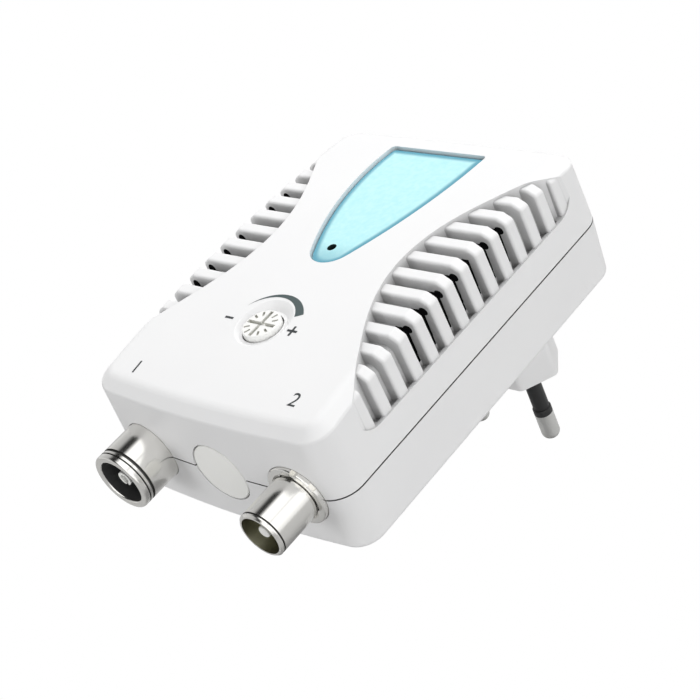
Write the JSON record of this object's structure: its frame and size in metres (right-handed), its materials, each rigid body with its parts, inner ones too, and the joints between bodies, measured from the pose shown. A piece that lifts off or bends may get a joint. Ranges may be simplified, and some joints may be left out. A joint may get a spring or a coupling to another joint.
{
  "type": "tv signal amplifier",
  "caption": "Plug-in aerial signal amplifier: white ribbed case on a flat mains plug, coaxial input and output sockets on the front, a gain knob and a tapered window on top.",
  "frame": {"origin": "midway between the two mains pins, on the plug's mating face", "axes": "+Z out of the wall socket towards the top of the case, +Y along the case away from the aerial sockets, +X to the side of the output"},
  "size_m": [0.06, 0.0938, 0.0685],
  "materials": {
    "case_plastic": "satin moulded white",
    "tinted_lens": "pale blue-green moulding",
    "lamp_red": "dark red lamp body",
    "ivory_plastic": "ivory moulding",
    "blue_plastic": "blue moulding",
    "brown_plastic": "brown lead insulation",
    "nickel": "bright nickel plate",
    "contact_brass": "plated brass",
    "tin_plate": "tin-plated sheet",
    "green_board": "glass-fibre laminate",
    "black_plastic": "black moulding",
    "dark_ferrite": "dull sintered",
    "capacitor_sleeve": "dark blue sleeve",
    "core_steel": "stacked sheet",
    "winding_tape": "yellow winding tape",
    "zinc_steel": "zinc-plated"
  },
  "bodies": {
    "case": {"upper_shell": "case_plastic", "lower_shell": "case_plastic", "plug_body": "case_plastic", "window_lens": "tinted_lens", "pilot_lamp": "lamp_red", "blanking_disc": "ivory_plastic", "potentiometer_body": "blue_plastic", "input_barrel": "nickel", "output_barrel": "nickel", "output_collar": "nickel", "input_contact": "contact_brass", "output_pin": "contact_brass", "input_insulator": "ivory_plastic", "output_insulator": "ivory_plastic", "screening_frame": "tin_plate", "screening_top_lid": "tin_plate", "screening_bottom_lid": "tin_plate", "rf_board": "green_board", "power_board": "green_board", "amplifier_transistors": "black_plastic", "ferrite_cores": "dark_ferrite", "chip_components": "dark_ferrite", "board_link_pins": "contact_brass", "smoothing_capacitor": "capacitor_sleeve", "output_capacitor": "capacitor_sleeve", "voltage_regulator": "black_plastic", "rectifier_diodes": "black_plastic", "transformer_core": "core_steel", "transformer_bobbin": "black_plastic", "primary_winding": "winding_tape", "secondary_winding": "winding_tape", "secondary_leads": "blue_plastic", "mains_leads": "brown_plastic", "mains_pins": "nickel", "pin_sleeves": "black_plastic", "case_screws": "zinc_steel"},
    "gain": {"gain_knob": "ivory_plastic", "potentiometer_rotor": "ivory_plastic"}
  },
  "joints": [
    {"name": "gain_turn", "type": "hinge", "parent": "case", "child": "gain", "pos_m": [0, -0.0474, 0.045], "axis": [0, 0, 1], "range_deg": [-135, 135]}
  ]
}
